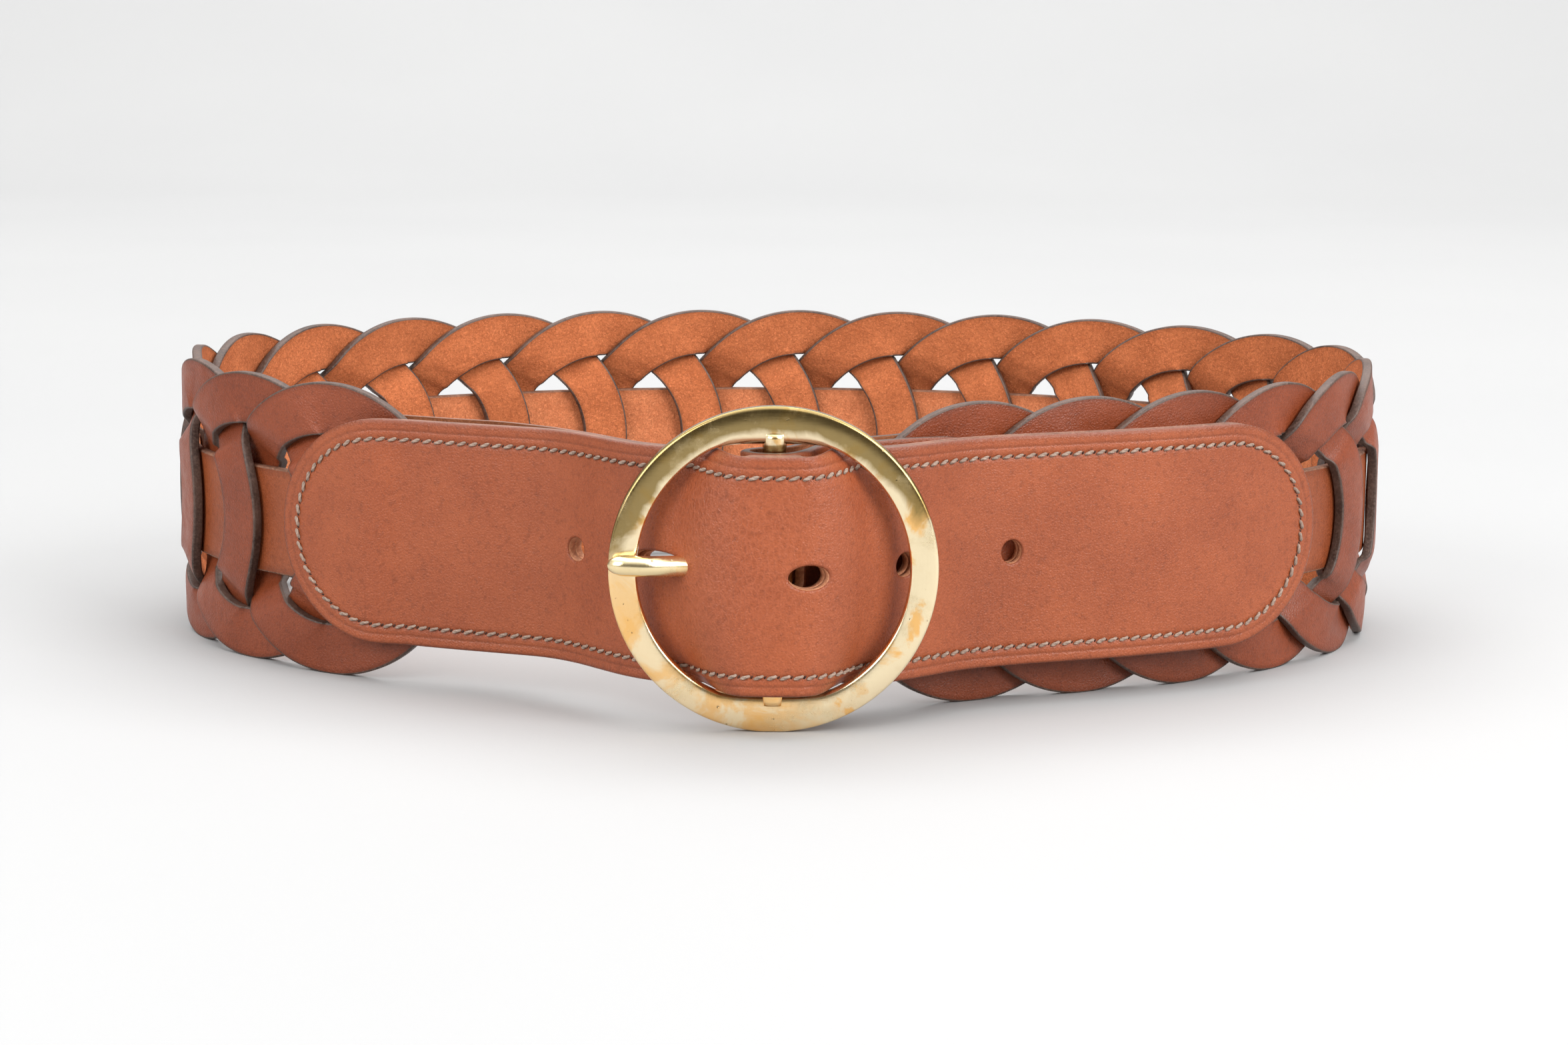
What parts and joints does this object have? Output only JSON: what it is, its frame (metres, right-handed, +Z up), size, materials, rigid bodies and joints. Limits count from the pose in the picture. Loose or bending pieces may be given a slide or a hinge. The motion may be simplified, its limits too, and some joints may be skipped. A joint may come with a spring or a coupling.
{
  "type": "leather belt",
  "caption": "Wide link belt: woven leather rings threaded on a strap, a stitched billet with punched holes and a round brass centre-bar buckle, fastened and standing on its edge.",
  "frame": {"origin": "middle of the belt's outline at the plane it stands on", "axes": "+Z up across the belt's width, +X along the long way of the closed loop, the buckle faces -Y"},
  "size_m": [0.2904, 0.223, 0.0691],
  "materials": {
    "ring_leather": "smooth vegetable-tanned grain outside, suede inside, burnished dark edge",
    "strap_leather": "smooth grain outside, suede inside, raw light edge",
    "billet_leather": "smooth grain with a creased border and burnished edge",
    "lining_leather": "plain lining leather",
    "chape_leather": "smooth grain, dark edge",
    "linen_thread": "waxed taupe thread",
    "brass": "polished, hand worn, fine scratches",
    "prong_brass": "polished"
  },
  "bodies": {
    "leather": {"ring_link_01": "ring_leather", "ring_link_02": "ring_leather", "ring_link_03": "ring_leather", "ring_link_04": "ring_leather", "ring_link_05": "ring_leather", "ring_link_06": "ring_leather", "ring_link_07": "ring_leather", "ring_link_08": "ring_leather", "ring_link_09": "ring_leather", "ring_link_10": "ring_leather", "ring_link_11": "ring_leather", "ring_link_12": "ring_leather", "ring_link_13": "ring_leather", "ring_link_14": "ring_leather", "ring_link_15": "ring_leather", "ring_link_16": "ring_leather", "ring_link_17": "ring_leather", "ring_link_18": "ring_leather", "ring_link_19": "ring_leather", "ring_link_20": "ring_leather", "ring_link_21": "ring_leather", "ring_link_22": "ring_leather", "ring_link_23": "ring_leather", "centre_strap": "strap_leather", "billet_face": "billet_leather", "billet_lining": "lining_leather", "billet_stitching": "linen_thread", "chape": "chape_leather", "chape_stitching": "linen_thread"},
    "buckle": {"buckle_frame": "brass"},
    "tongue": {"prong": "prong_brass"}
  },
  "joints": [
    {"name": "buckle_swing", "type": "hinge", "parent": "leather", "child": "buckle", "pos_m": [-0.00121, -0.10046, 0.03453], "axis": [0, 0, 1], "range_deg": [-2, 2]},
    {"name": "prong_swing", "type": "hinge", "parent": "buckle", "child": "tongue", "pos_m": [-0.00121, -0.10046, 0.0345], "axis": [0, 0, 1], "range_deg": [0, 4]}
  ]
}
